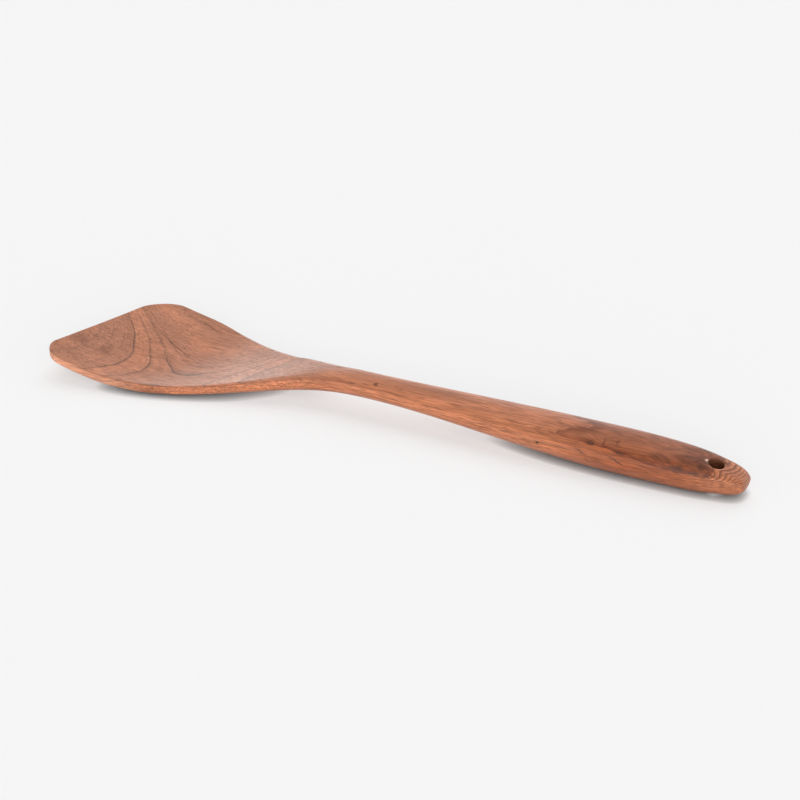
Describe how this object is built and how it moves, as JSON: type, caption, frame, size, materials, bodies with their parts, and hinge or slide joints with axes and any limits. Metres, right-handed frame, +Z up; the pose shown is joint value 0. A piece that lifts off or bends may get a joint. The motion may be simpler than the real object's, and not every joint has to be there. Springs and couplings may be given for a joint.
{
  "type": "spatula",
  "caption": "Wooden turner spatula carved in one piece: a scooped blade with a slanted front edge, an arched neck and a swelling grip with a hanging hole.",
  "frame": {"origin": "centre of the bounding box at the table, on the blade's and the grip's sanded flats", "axes": "+X from the blade to the end of the grip, +Z up out of the scooped face, -Y towards the leading corner of the slanted front edge"},
  "size_m": [0.3296, 0.072, 0.0178],
  "materials": {
    "teak": "oiled satin"
  },
  "bodies": {
    "root": {"spatula": "teak"}
  },
  "joints": []
}
